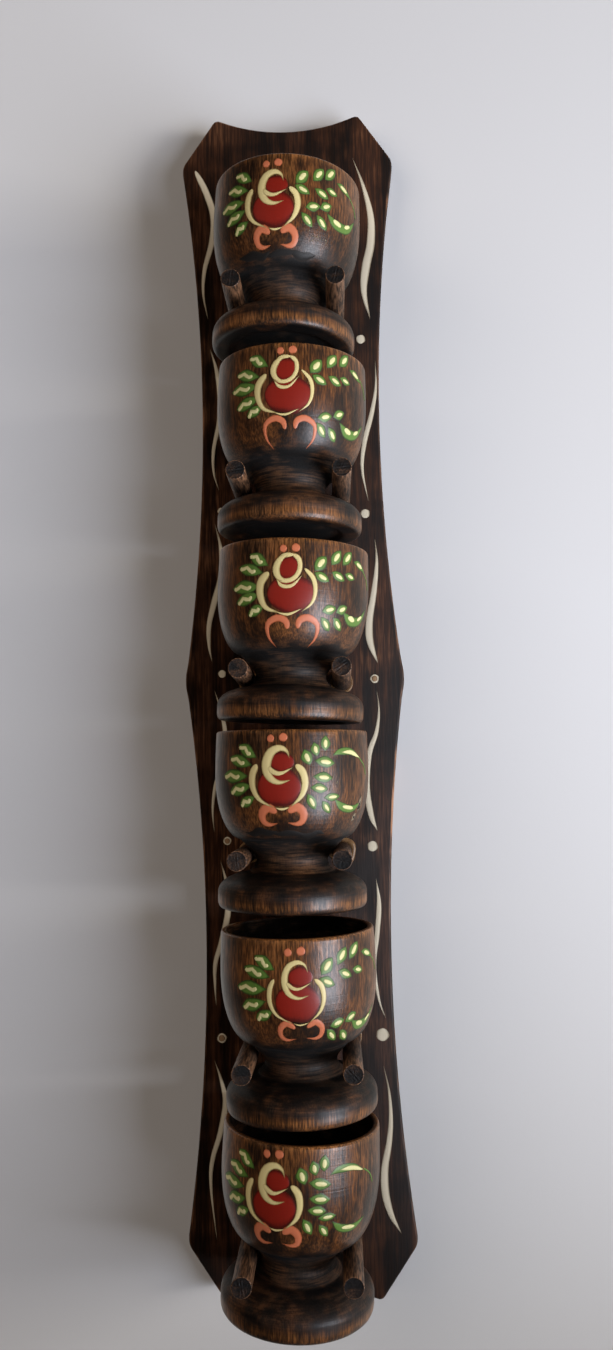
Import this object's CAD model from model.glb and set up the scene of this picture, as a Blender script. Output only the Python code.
"""Looks of a wall rack for six egg cups: turned and stained hardwood, lacquered and painted by hand.

Sizes in this file are millimetres, and the meshes are metres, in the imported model's own frame: +Z runs up
the board, the painted front faces -Y and the wall is the plane y = 0.
"""

import logging
import math
import random
from collections.abc import Callable, Iterable
from dataclasses import dataclass, field
from enum import Enum

import bmesh
import bpy
import numpy as np
from mathutils import Matrix, Vector


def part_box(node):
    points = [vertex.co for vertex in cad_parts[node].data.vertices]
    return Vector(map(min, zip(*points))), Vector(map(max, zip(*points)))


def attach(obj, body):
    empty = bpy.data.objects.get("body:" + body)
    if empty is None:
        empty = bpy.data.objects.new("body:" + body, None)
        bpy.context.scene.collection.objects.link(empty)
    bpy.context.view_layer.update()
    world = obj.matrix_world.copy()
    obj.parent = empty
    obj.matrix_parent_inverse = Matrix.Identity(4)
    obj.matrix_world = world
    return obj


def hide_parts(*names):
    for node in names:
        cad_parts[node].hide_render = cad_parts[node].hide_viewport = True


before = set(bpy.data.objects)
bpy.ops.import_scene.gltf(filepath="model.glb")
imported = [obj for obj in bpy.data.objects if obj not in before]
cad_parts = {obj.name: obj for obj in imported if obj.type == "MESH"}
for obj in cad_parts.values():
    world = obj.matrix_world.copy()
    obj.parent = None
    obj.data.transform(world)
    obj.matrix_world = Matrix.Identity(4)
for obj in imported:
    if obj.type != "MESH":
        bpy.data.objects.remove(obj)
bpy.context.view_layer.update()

MM = 0.001
WELD = 0.002 * MM               # vertices nearer than this are one
STATIONS = range(1, 7)
SIDES = ("left", "right")
OUT = Vector((0, -1, 0))        # away from the wall
EASED = {"interpolation_type": "SMOOTHSTEP"}
COLOURED = {"data_type": "RGBA"}

log = logging.getLogger("egg_cup_rack")

Pair = tuple[float, float]
Path = tuple[Pair, ...]


# ---------------------------------------------------------------- small helpers


def linear(hex_colour: str) -> tuple[float, float, float, float]:
    """Turns an sRGB colour such as '#a0522d' into the linear RGBA that a shader takes.

    Args:
        hex_colour: six hex digits after a hash.

    Returns:
        Red, green and blue in linear light, and full alpha.
    """
    parts = [int(hex_colour[i : i + 2], 16) / 255 for i in (1, 3, 5)]
    light = [c / 12.92 if c <= 0.04045 else ((c + 0.055) / 1.055) ** 2.4 for c in parts]
    return (*light, 1.0)


def put(
    tree: bpy.types.NodeTree,
    kind: str,
    sockets: dict[str | int, object] | None = None,
    **settings: object,
) -> bpy.types.Node:
    """Adds one node to a tree.

    Args:
        tree: the material's or the world's nodes.
        kind: the node's type name.
        sockets: what goes into each input: another node's output, or a constant.
        settings: properties of the node itself.

    Returns:
        The new node.
    """
    node = tree.nodes.new(kind)
    for key, value in settings.items():
        setattr(node, key, value)
    for key, value in (sockets or {}).items():
        if isinstance(value, bpy.types.NodeSocket):
            tree.links.new(value, node.inputs[key])
        else:
            node.inputs[key].default_value = value
    return node


def blank(name: str) -> tuple[bpy.types.Material, bpy.types.NodeTree]:
    """Starts a material with no nodes in it."""
    material = bpy.data.materials.new(name)
    material.use_nodes = True
    material.node_tree.nodes.clear()
    return material, material.node_tree


def deselect() -> None:
    """Leaves object mode on and nothing selected."""
    if bpy.context.mode != "OBJECT":
        bpy.ops.object.mode_set(mode="OBJECT")
    bpy.ops.object.select_all(action="DESELECT")


def choose(obj: bpy.types.Object) -> None:
    """Makes one object the only selected one, and the active one."""
    deselect()
    obj.select_set(True)
    bpy.context.view_layer.objects.active = obj


def edit(obj: bpy.types.Object) -> None:
    """Opens an object in edit mode with all of it selected, vertex by vertex."""
    choose(obj)
    bpy.ops.object.mode_set(mode="EDIT")
    bpy.ops.mesh.select_mode(type="VERT")
    bpy.ops.mesh.select_all(action="SELECT")


def pick(kind: str, test: Callable[[Vector], bool]) -> None:
    """Selects the open mesh's faces or edges by where they lie.

    Args:
        kind: FACE or EDGE.
        test: called with each vertex's place in millimetres; all of an element's vertices have to pass.
    """
    bpy.ops.mesh.select_mode(type=kind)
    bpy.ops.mesh.select_all(action="DESELECT")
    mesh = bmesh.from_edit_mesh(bpy.context.active_object.data)
    for element in {"FACE": mesh.faces, "EDGE": mesh.edges}[kind]:
        if all(test(v.co / MM) for v in element.verts):
            element.select_set(True)
    mesh.select_flush_mode()
    bmesh.update_edit_mesh(bpy.context.active_object.data)


def settle(obj: bpy.types.Object, name: str, smooth: float | None = 40.0) -> bpy.types.Object:
    """Ends the modelling of a piece: applies its place, sets its name and smooths its shading.

    Args:
        obj: the piece, in any mode.
        name: its final name.
        smooth: edges sharper than this many degrees stay crisp, and None leaves the piece faceted.

    Returns:
        The same object.
    """
    choose(obj)
    bpy.ops.object.transform_apply(location=True, rotation=True, scale=True)
    if smooth is not None:
        bpy.ops.object.shade_smooth_by_angle(angle=math.radians(smooth))
    obj.name = name
    obj.data.name = name
    return obj


def chain(points: Iterable[Vector]) -> bpy.types.Object:
    """Draws a line of vertices, each extruded from the last, and stays in edit mode.

    Args:
        points: the places of the vertices, in millimetres.

    Returns:
        The object that holds the line.
    """
    places = [Vector(p) * MM for p in points]
    deselect()
    bpy.ops.mesh.primitive_plane_add(size=MM, location=(0, 0, 0))
    obj = bpy.context.active_object
    edit(obj)
    bpy.ops.mesh.merge(type="CENTER")
    bpy.ops.transform.translate(value=places[0])
    for before, after in zip(places, places[1:]):
        bpy.ops.mesh.extrude_vertices_move(TRANSFORM_OT_translate={"value": after - before})
    return obj


def cut(obj: bpy.types.Object, tool: bpy.types.Object, operation: str = "DIFFERENCE") -> None:
    """Cuts one closed piece out of another, and throws the tool away.

    Args:
        obj: the piece that stays.
        tool: the other piece.
        operation: DIFFERENCE, or UNION to weld the two instead.
    """
    choose(obj)
    modifier = obj.modifiers.new("cut", "BOOLEAN")
    modifier.operation = operation
    modifier.solver = "EXACT"
    modifier.object = tool
    bpy.ops.object.modifier_apply(modifier=modifier.name)
    bpy.data.objects.remove(tool, do_unlink=True)


def join(pieces: list[bpy.types.Object]) -> bpy.types.Object:
    """Joins several objects into the first one."""
    deselect()
    for piece in pieces:
        piece.select_set(True)
    bpy.context.view_layer.objects.active = pieces[0]
    bpy.ops.object.join()
    return pieces[0]


def mark(obj: bpy.types.Object, name: str, values: Iterable[float]) -> None:
    """Stores one number for each vertex, for a material to read."""
    layer = obj.data.attributes.get(name) or obj.data.attributes.new(name, "FLOAT", "POINT")
    layer.data.foreach_set("value", np.asarray(list(values), np.float32))


def places_of(obj: bpy.types.Object) -> np.ndarray:
    """The places of an object's vertices, in millimetres."""
    flat = np.empty(len(obj.data.vertices) * 3, np.float32)
    obj.data.vertices.foreach_get("co", flat)
    return flat.reshape(-1, 3).astype(float) / MM


def hand_over(obj: bpy.types.Object, body: str, slot: str, *nodes: str) -> None:
    """Puts a finished piece on its body, with its slot and the CAD nodes that it stands for."""
    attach(obj, body)
    if nodes:
        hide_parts(*nodes)
    log.info("%s rides on %s, %d faces", obj.name, body, len(obj.data.polygons))


# ---------------------------------------------------------------- finishes


class Grain(Enum):
    """The way the fibres of a piece of wood run."""

    UP = 2
    OUT = 1

    def stretched(self, across: float, along: float) -> tuple[float, float, float]:
        """Scales for a pattern that is narrow across the fibres and long with them, from sizes in mm."""
        scales = [1 / (across * MM)] * 3
        scales[self.value] = 1 / (along * MM)
        return tuple(scales)


@dataclass(frozen=True)
class StainedWood:
    """Beech or alder under walnut stain and satin lacquer.

    The stain pools in the open pores as fine dark dashes and leaves the hard fibres lighter. Where hands
    and neighbours rub, it wears through to golden brown, and in the corners that no cloth reaches it stays
    black. Where the lathe tore the fibres, fine rings of dark and light run round the piece, under a dull
    skin.
    """

    name: str
    shade: str                    # where the stain is deepest
    body: str                     # the usual colour of a fibre
    worn: str                     # where the stain has rubbed off
    grain: Grain
    pore: Pair = (0.45, 4.5)      # width and length of a pore dash
    figure: Pair = (3.0, 45.0)    # width and length of a band of growth rings
    roughness: float = 0.36
    lacquer: float = 0.3
    relief: float = 0.06          # depth of a pore under the lacquer
    contrast: Pair = (0.3, 1.7)   # brightness of a pore and of the hard fibre beside it
    cloud: float = 17.0           # size of a patch of uneven stain
    tear: Pair = (7.0, 0.4)       # width and height of a torn ring
    drift: Pair = (9.0, 3.0)      # width and height of a drift of dirt
    dust: str = "#332a22"

    def make(self) -> bpy.types.Material:
        """Builds the material."""
        material, tree = blank(self.name)
        place = put(tree, "ShaderNodeTexCoord").outputs["Object"]
        patterns = (
            (self.grain.stretched(*self.pore), 3.0, 0.62),
            (self.grain.stretched(*self.figure), 2.0, 0.5),
            (Grain.UP.stretched(self.cloud, self.cloud), 3.0, 0.55),
            (Grain.UP.stretched(*self.tear), 3.0, 0.6),
            (Grain.UP.stretched(*self.drift), 2.0, 0.6),
        )
        pores, bands, clouds, tears, drifts = (
            put(
                tree,
                "ShaderNodeTexNoise",
                {
                    "Vector": put(
                        tree, "ShaderNodeMapping", {"Vector": place, "Scale": scale}
                    ).outputs[0],
                    "Scale": 1.0,
                    "Detail": detail,
                    "Roughness": roughness,
                },
            ).outputs["Fac"]
            for scale, detail, roughness in patterns
        )
        wear, grime, torn, turned = (
            put(tree, "ShaderNodeAttribute", attribute_name=name).outputs["Fac"]
            for name in ("wear", "grime", "torn", "turned")
        )
        shade, body, worn, dust = (linear(c) for c in (self.shade, self.body, self.worn, self.dust))

        # Bands of lighter and darker growth, shifted by broad clouds of uneven stain.
        depth = put(tree, "ShaderNodeMath", {0: bands, 1: clouds}, operation="ADD").outputs[0]
        lightness = put(tree, "ShaderNodeMapRange", {0: depth, 1: 0.8, 2: 1.22}, **EASED).outputs[0]
        stained = put(tree, "ShaderNodeMix", {0: lightness, 6: shade, 7: body}, **COLOURED).outputs[2]

        # Wear shows first on the hard fibres, so it follows the pores and the clouds.
        patchy = put(tree, "ShaderNodeMath", {0: pores, 1: clouds}, operation="ADD").outputs[0]
        broken = put(
            tree, "ShaderNodeMath", {0: patchy, 1: 0.8, 2: wear}, operation="MULTIPLY_ADD"
        ).outputs[0]
        rubbed = put(tree, "ShaderNodeMapRange", {0: broken, 1: 0.85, 2: 1.75}, **EASED).outputs[0]
        golden = put(tree, "ShaderNodeMix", {0: rubbed, 6: stained, 7: worn}, **COLOURED).outputs[2]

        # Torn fibres hold dust, which greys them.
        dusty = put(tree, "ShaderNodeMapRange", {0: torn, 4: 0.55}, **EASED).outputs[0]
        dulled = put(tree, "ShaderNodeMix", {0: dusty, 6: golden, 7: dust}, **COLOURED).outputs[2]

        # Dark dashes along the fibres, and rings where the lathe tore them.
        low, high = self.contrast
        dashes = put(
            tree, "ShaderNodeMapRange", {0: pores, 1: 0.36, 2: 0.64, 3: low, 4: high}, **EASED
        ).outputs[0]
        rings = put(
            tree, "ShaderNodeMapRange", {0: tears, 1: 0.38, 2: 0.62, 3: 0.2, 4: 1.7}, **EASED
        ).outputs[0]
        lines = put(tree, "ShaderNodeMix", {0: torn, 2: dashes, 3: rings}).outputs[0]
        streaked = put(
            tree, "ShaderNodeVectorMath", {0: dulled, "Scale": lines}, operation="SCALE"
        ).outputs[0]

        # Dirt lies in uneven drifts.
        spread = put(
            tree, "ShaderNodeMapRange", {0: drifts, 1: 0.35, 2: 0.65, 3: 0.5, 4: 1.5}, **EASED
        ).outputs[0]
        settled = put(tree, "ShaderNodeMath", {0: grime, 1: spread}, operation="MULTIPLY").outputs[0]
        soot = put(
            tree, "ShaderNodeMapRange", {0: settled, 2: 0.85, 3: 1.0, 4: 0.06}, **EASED
        ).outputs[0]
        colour = put(
            tree, "ShaderNodeVectorMath", {0: streaked, "Scale": soot}, operation="SCALE"
        ).outputs[0]

        # The lacquer is smoothest on hard fibres, and dull where they are torn or dirty.
        rough, smooth = self.roughness + 0.08, self.roughness - 0.06
        skin = put(
            tree, "ShaderNodeMapRange", {0: pores, 1: 0.3, 2: 0.7, 3: rough, 4: smooth}, **EASED
        ).outputs[0]
        dull = put(
            tree, "ShaderNodeMath", {0: torn, 1: 0.22, 2: skin}, operation="MULTIPLY_ADD"
        ).outputs[0]
        gloss = put(
            tree, "ShaderNodeMath", {0: grime, 1: 0.3, 2: dull}, operation="MULTIPLY_ADD"
        ).outputs[0]
        coat = put(
            tree, "ShaderNodeMapRange", {0: torn, 3: self.lacquer, 4: 0.05}, **EASED
        ).outputs[0]

        # The turning tool leaves fine rings, and the pores sink a little under the lacquer.
        tool = put(
            tree,
            "ShaderNodeTexNoise",
            {"W": turned, "Scale": 1.2, "Detail": 3.0, "Roughness": 0.65},
            noise_dimensions="1D",
        ).outputs["Fac"]
        tooled = put(
            tree, "ShaderNodeBump", {"Height": tool, "Strength": 0.5, "Distance": 0.07 * MM}
        ).outputs[0]
        height = put(tree, "ShaderNodeMix", {0: torn, 2: pores, 3: tears}).outputs[0]
        relief = put(
            tree,
            "ShaderNodeBump",
            {"Height": height, "Normal": tooled, "Strength": 0.9, "Distance": self.relief * MM},
        ).outputs[0]
        shader = put(
            tree,
            "ShaderNodeBsdfPrincipled",
            {
                "Base Color": colour,
                "Roughness": gloss,
                "Normal": relief,
                "IOR": 1.48,
                "Coat Weight": coat,
                "Coat Roughness": 0.28,
                "Coat Normal": tooled,
            },
        ).outputs[0]
        put(tree, "ShaderNodeOutputMaterial", {"Surface": shader})
        return material


@dataclass(frozen=True)
class BrushPaint:
    """Hobby paint laid on with one touch of a round brush, then lacquered with the wood.

    The film is full in the middle of a touch and thin at its edges and tail, where the dark wood shows
    through, and the hairs of the brush leave faint lines along it.
    """

    name: str
    full: str                     # a full brush
    thin: str                     # the wood shows through
    roughness: float = 0.45
    pore: Pair = (0.6, 7.0)       # width and length of a pore that dents the film

    def make(self) -> bpy.types.Material:
        """Builds the material."""
        material, tree = blank(self.name)
        place = put(tree, "ShaderNodeTexCoord").outputs["Object"]
        stroke = put(tree, "ShaderNodeTexCoord").outputs["UV"]
        load = put(tree, "ShaderNodeAttribute", attribute_name="load").outputs["Fac"]
        combed = put(tree, "ShaderNodeMapping", {"Vector": stroke, "Scale": (1.5, 9.0, 1.0)}).outputs[0]
        hairs = put(
            tree, "ShaderNodeTexNoise", {"Vector": combed, "Scale": 1.0, "Detail": 2.0}
        ).outputs["Fac"]
        wood = put(
            tree, "ShaderNodeMapping", {"Vector": place, "Scale": Grain.UP.stretched(*self.pore)}
        ).outputs[0]
        pores = put(
            tree, "ShaderNodeTexNoise", {"Vector": wood, "Scale": 1.0, "Detail": 3.0}
        ).outputs["Fac"]
        uneven = put(
            tree, "ShaderNodeMath", {0: hairs, 1: pores, 2: load}, operation="MULTIPLY_ADD"
        ).outputs[0]
        cover = put(tree, "ShaderNodeMapRange", {0: uneven, 1: 0.45, 2: 1.3}, **EASED).outputs[0]
        thin, full = linear(self.thin), linear(self.full)
        colour = put(tree, "ShaderNodeMix", {0: cover, 6: thin, 7: full}, **COLOURED).outputs[2]
        relief = put(
            tree, "ShaderNodeBump", {"Height": hairs, "Strength": 0.6, "Distance": 0.05 * MM}
        ).outputs[0]
        shader = put(
            tree,
            "ShaderNodeBsdfPrincipled",
            {
                "Base Color": colour,
                "Roughness": self.roughness,
                "Normal": relief,
                "IOR": 1.5,
                "Coat Weight": 0.15,
                "Coat Roughness": 0.25,
            },
        ).outputs[0]
        put(tree, "ShaderNodeOutputMaterial", {"Surface": shader})
        return material


@dataclass(frozen=True)
class DullMetal:
    """Thin stamped or drawn metal that has gone dull: fine rolling lines and darker spots of tarnish."""

    name: str
    clean: str
    tarnish: str
    roughness: float = 0.36

    def make(self) -> bpy.types.Material:
        """Builds the material."""
        material, tree = blank(self.name)
        place = put(tree, "ShaderNodeTexCoord").outputs["Object"]
        spots = put(
            tree,
            "ShaderNodeTexNoise",
            {"Vector": place, "Scale": 1 / (3 * MM), "Detail": 4.0, "Roughness": 0.6},
        ).outputs["Fac"]
        rolled = put(
            tree,
            "ShaderNodeMapping",
            {"Vector": place, "Scale": (1 / (9 * MM), 1 / (0.15 * MM), 1 / (0.15 * MM))},
        ).outputs[0]
        lines = put(
            tree, "ShaderNodeTexNoise", {"Vector": rolled, "Scale": 1.0, "Detail": 2.0}
        ).outputs["Fac"]
        age = put(tree, "ShaderNodeMapRange", {0: spots, 1: 0.42, 2: 0.66}, **EASED).outputs[0]
        clean, tarnish = linear(self.clean), linear(self.tarnish)
        colour = put(tree, "ShaderNodeMix", {0: age, 6: clean, 7: tarnish}, **COLOURED).outputs[2]
        gloss = put(
            tree, "ShaderNodeMapRange", {0: age, 3: self.roughness, 4: self.roughness + 0.25}
        ).outputs[0]
        relief = put(
            tree, "ShaderNodeBump", {"Height": lines, "Strength": 0.4, "Distance": 0.02 * MM}
        ).outputs[0]
        shader = put(
            tree,
            "ShaderNodeBsdfPrincipled",
            {"Base Color": colour, "Roughness": gloss, "Metallic": 1.0, "Normal": relief},
        ).outputs[0]
        put(tree, "ShaderNodeOutputMaterial", {"Surface": shader})
        return material


@dataclass(frozen=True)
class HideGlue:
    """Wood glue that squeezed out round a peg and dried to a hard amber skin with bubbles in it."""

    name: str = "dried_wood_glue"
    clear: str = "#8a6c48"
    stained: str = "#4a3020"

    def make(self) -> bpy.types.Material:
        """Builds the material."""
        material, tree = blank(self.name)
        place = put(tree, "ShaderNodeTexCoord").outputs["Object"]
        bubbles = put(
            tree, "ShaderNodeTexNoise", {"Vector": place, "Scale": 1 / (0.9 * MM), "Detail": 3.0}
        ).outputs["Fac"]
        stained, clear = linear(self.stained), linear(self.clear)
        colour = put(tree, "ShaderNodeMix", {0: bubbles, 6: stained, 7: clear}, **COLOURED).outputs[2]
        relief = put(
            tree, "ShaderNodeBump", {"Height": bubbles, "Strength": 0.6, "Distance": 0.15 * MM}
        ).outputs[0]
        shader = put(
            tree,
            "ShaderNodeBsdfPrincipled",
            {"Base Color": colour, "Roughness": 0.35, "Normal": relief, "IOR": 1.48},
        ).outputs[0]
        put(tree, "ShaderNodeOutputMaterial", {"Surface": shader})
        return material


BOARD_WOOD = StainedWood(
    "walnut_stained_planed_beech", "#160c07", "#3a2215", "#93684a", Grain.UP,
    pore=(0.6, 12.0), figure=(4.0, 110.0), roughness=0.56, lacquer=0.0, relief=0.04,
    contrast=(0.55, 1.4),
)
CUP_WOOD = StainedWood(
    "walnut_stained_turned_beech", "#22140b", "#543219", "#8f5f35", Grain.UP,
    contrast=(0.45, 1.45),
)
PEG_WOOD = StainedWood(
    "walnut_stained_beech_dowel", "#1c120c", "#402b1c", "#6f503a", Grain.OUT,
    pore=(0.5, 5.0), roughness=0.5, lacquer=0.1,
)
PLATE_BRASS = DullMetal("stamped_brass_plate", "#b39348", "#6e5527")
NAIL_STEEL = DullMetal("drawn_steel_pin", "#8d8a84", "#57493c", 0.42)
GLUE = HideGlue()


class Paint(Enum):
    """The colours on the painter's saucer, each with the record's slot for it."""

    CREAM = ("paint_cream", BrushPaint("cream_hobby_paint", "#d3c48c", "#8f7c4e"))
    RED = ("paint_red", BrushPaint("oxide_red_hobby_paint", "#7e1c10", "#480f08"))
    SALMON = ("paint_salmon", BrushPaint("salmon_hobby_paint", "#c2704f", "#96502f"))
    GREEN = ("paint_green", BrushPaint("leaf_green_hobby_paint", "#587a34", "#2c4018"))
    LIGHT_GREEN = ("paint_light_green", BrushPaint("pale_green_hobby_paint", "#d8d39c", "#8f955c"))
    BOARD_CREAM = ("paint_cream", BrushPaint("thinned_cream_hobby_paint", "#d6cdb8", "#8f8470"))
    RUBBED_CREAM = ("paint_cream", BrushPaint("rubbed_cream_hobby_paint", "#96795c", "#5f4530"))
    CHIP = ("cup_wood", BrushPaint("chipped_stained_wood", "#0f0b08", "#1d1610", 0.7))
    SCUFF = ("cup_wood", BrushPaint("scuffed_bare_fibre", "#7d705c", "#3d3226", 0.7))

    @property
    def slot(self) -> str:
        """The record's material slot."""
        return self.value[0]

    @property
    def finish(self) -> BrushPaint:
        """The finish of the dried film."""
        return self.value[1]


MADE: dict[str, bpy.types.Material] = {}


def dress(obj: bpy.types.Object, finish: StainedWood | BrushPaint | DullMetal | HideGlue) -> None:
    """Gives a piece one finish all over, making its material the first time."""
    if finish.name not in MADE:
        MADE[finish.name] = finish.make()
    obj.data.materials.clear()
    obj.data.materials.append(MADE[finish.name])


# ---------------------------------------------------------------- where CAD pieces stand


@dataclass(frozen=True)
class Axis:
    """The long axis of a turned CAD piece: its foot and its direction, in millimetres."""

    foot: Vector
    direction: Vector
    length: float

    @classmethod
    def of(cls, node: str, towards: Vector) -> "Axis":
        """Finds the axis of a solid of revolution from its own vertices.

        Args:
            node: the CAD node.
            towards: a rough direction, which the axis is turned to point along.

        Returns:
            The axis, from the lowest to the highest point along it.
        """
        points = np.unique(places_of(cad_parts[node]).round(3), axis=0)
        centre = points.mean(0)
        _, vectors = np.linalg.eigh(np.cov((points - centre).T))
        best = max(vectors.T, key=lambda v: abs(v @ np.array(towards)))
        direction = best * math.copysign(1, best @ np.array(towards))
        along = (points - centre) @ direction
        foot = centre + direction * along.min()
        return cls(Vector(foot), Vector(direction), float(along.max() - along.min()))

    def matrix(self) -> Matrix:
        """Places a piece that was made upright on the origin, its front kept to -Y."""
        z = self.direction.normalized()
        x = (Vector((1, 0, 0)) - z * z.x).normalized()
        y = z.cross(x)
        turn = Matrix((x, y, z)).transposed().to_4x4()
        return Matrix.Translation(self.foot * MM) @ turn


# ---------------------------------------------------------------- egg cups


@dataclass(frozen=True)
class Reach:
    """One stretch of a turned profile: a Bezier curve of (radius, height) and what the years did to it."""

    curve: Path
    steps: int
    wear: Pair = (0.0, 0.0)
    grime: Pair = (0.0, 0.0)
    torn: Pair = (0.0, 0.0)

    def points(self) -> list[tuple[float, ...]]:
        """Radius, height, wear, grime and torn grain at each step, without the last one."""
        controls = [Vector(p) for p in self.curve]
        made = []
        for i in range(self.steps):
            t = i / self.steps
            level = controls
            while len(level) > 1:
                level = [a.lerp(b, t) for a, b in zip(level, level[1:])]
            marks = [low + (high - low) * t for low, high in (self.wear, self.grime, self.torn)]
            made.append((level[0].x, level[0].y, *marks))
        return made


@dataclass
class EggCup:
    """One egg cup, turned from a single block: foot, waist, bowl and egg hollow."""

    number: int
    height: float = 54.3
    foot: float = 23.2
    bowl: float = 24.1
    neck: float = 11.2
    mouth: float = 21.8
    floor: float = 26.0
    shoulder: Pair = (16.4, 21.0)     # upper edge of the taper that hangs on the pegs
    belly: float = 41.0               # height of the widest part of the bowl
    turns: int = 120
    ring_shift: float = 90.0          # from one cup's pattern of tool rings to the next cup's
    axis: Axis = field(init=False)

    def __post_init__(self) -> None:
        """Finds where the CAD cup stands."""
        self.axis = Axis.of(self.node, Vector((0, 0, 1)))

    @property
    def node(self) -> str:
        """The name of this cup's CAD node."""
        return f"egg_cup_{self.number}"

    @property
    def body(self) -> str:
        """The name of the CAD body that this cup is."""
        return f"cup_{self.number}"

    def stem(self) -> list[Reach]:
        """The foot and the waist, from the centre of the underside to the shoulder."""
        foot, neck = self.foot, self.neck
        edge, shelf = self.shoulder
        return [
            Reach(((0, 1.2), (15.2, 1.2)), 8, grime=(0.9, 0.9), torn=(1, 1)),
            Reach(((15.2, 1.2), (16, 1.2), (17, 0), (18, 0)), 5, grime=(0.9, 0.8)),
            Reach(((18, 0), (21, 0)), 3, grime=(0.8, 0.7)),
            Reach(((21, 0), (22.6, 0), (foot, 0.7), (foot, 2.6)), 8, (0.05, 0.4), (0.7, 0.15)),
            Reach(((foot, 2.6), (foot, 4.6)), 4, (0.35, 0.1), (0.15, 0.35), (0.0, 0.3)),
            Reach(
                ((foot, 4.6), (foot, 8.4), (18.6, 10), (13.8, 10.8)),
                22, (0.1, 0.0), (0.4, 0.55), (0.4, 0.9),
            ),
            Reach(
                ((13.8, 10.8), (13.4, 10.9), (13.1, 11.1), (12.9, 11.4)),
                4, (0.1, 0.1), (0.55, 0.2), (0.6, 0.9),
            ),
            Reach(
                ((12.9, 11.4), (2 * neck - 12.75, 14), (12.6, 17.2)),
                16, (0.2, 0.2), (0.2, 0.2), (1.0, 1.0),
            ),
            Reach(((12.6, 17.2), (edge - 0.3, shelf - 0.3)), 8, (0.1, 0.0), (0.25, 1.0), (1.0, 1.0)),
        ]

    def wall(self) -> list[Reach]:
        """The outside of the bowl, from the shoulder to the top of the rim."""
        bowl, belly, top = self.bowl, self.belly, self.height
        edge, shelf = self.shoulder
        rim = bowl - 0.35
        return [
            Reach(
                ((edge - 0.3, shelf - 0.3), (edge, shelf), (edge + 0.4, 21.15)),
                4, grime=(0.95, 0.95), torn=(1.0, 1.0),
            ),
            Reach(
                ((edge + 0.4, 21.15), (19.6, 21.5), (23.9, 27.5), (bowl, belly)),
                28, (0.05, 0.15), (0.95, -0.5), (1.0, -1.2),
            ),
            Reach(((bowl, belly), (bowl, 45), (rim + 0.15, 50), (rim, top - 1.0)), 12, (0.15, 0.25)),
            Reach(
                ((rim, top - 1.0), (rim, top - 0.3), (rim - 0.3, top), (rim - 0.8, top)),
                5, (0.35, 0.6),
            ),
        ]

    def hollow(self) -> list[Reach]:
        """The rest of the profile, over the rim and down to the centre of the hollow."""
        top, mouth, floor = self.height, self.mouth, self.floor
        return [
            Reach(((self.bowl - 1.15, top), (mouth + 0.4, top)), 2, (0.5, 0.2), (0.0, 0.3)),
            Reach(((mouth + 0.4, top), (mouth, top), (mouth, top - 0.6)), 4, (0.2, 0.0), (0.3, 0.7)),
            Reach(
                ((mouth, top - 0.6), (21.6, 38), (13.5, floor), (0, floor)),
                30, grime=(0.75, 0.95), torn=(1, 1),
            ),
            Reach(((0, floor), (0, floor)), 1, grime=(0.95, 0.95)),
        ]

    def profile(self) -> list[tuple[float, ...]]:
        """Radius, height and marks all the way round the half section."""
        return [p for reach in self.stem() + self.wall() + self.hollow() for p in reach.points()]

    def skin(self, height: float) -> tuple[float, float]:
        """The bowl's outer radius and its slope.

        Args:
            height: above the underside, from the shoulder to the rim.

        Returns:
            The radius, and how much it grows for each millimetre of height.
        """
        bowl = [p for reach in self.wall()[1:3] for p in reach.points()]
        heights = [p[1] for p in bowl]
        radii = [p[0] for p in bowl]
        low, high = np.interp([height - 0.2, height + 0.2], heights, radii)
        return float(low + high) / 2, float(high - low) / 0.4

    def build(self) -> bpy.types.Object:
        """Turns the profile round the cup's axis, as on a lathe, and stands it in its place."""
        profile = self.profile()
        obj = chain(Vector((r, 0, z)) for r, z, *_ in profile)
        bpy.ops.mesh.select_all(action="SELECT")
        bpy.ops.mesh.spin(
            steps=self.turns, angle=math.tau, center=(0, 0, 0), axis=(0, 0, 1), use_auto_merge=False
        )
        bpy.ops.mesh.select_all(action="SELECT")
        bpy.ops.mesh.remove_doubles(threshold=WELD)
        bpy.ops.mesh.normals_make_consistent(inside=False)
        settle(obj, f"turned_egg_cup_{self.number}", 50)
        self.weather(obj, profile)
        obj.data.transform(self.axis.matrix())
        return obj

    def weather(self, obj: bpy.types.Object, profile: list[tuple[float, ...]]) -> None:
        """Stores wear, grime, torn grain and the way along the profile on the turned mesh."""
        points = places_of(obj)
        flat = np.stack([np.hypot(points[:, 0], points[:, 1]), points[:, 2]], 1)
        table = np.array(profile)
        steps = np.hypot(*np.diff(table[:, :2], axis=0).T)
        way = np.concatenate([[0], np.cumsum(steps)])
        nearest = np.argmin(((flat[:, None] - table[None, :, :2]) ** 2).sum(2), 1)
        for column, name in enumerate(("wear", "grime", "torn"), 2):
            mark(obj, name, table[nearest, column].clip(0, 1))
        mark(obj, "turned", way[nearest] + self.ring_shift * self.number)

    def dress(self, obj: bpy.types.Object) -> None:
        """Stains and lacquers the cup."""
        dress(obj, CUP_WOOD)
        hand_over(obj, self.body, "cup_wood", self.node)


# ---------------------------------------------------------------- board, pegs and hanger


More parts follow.
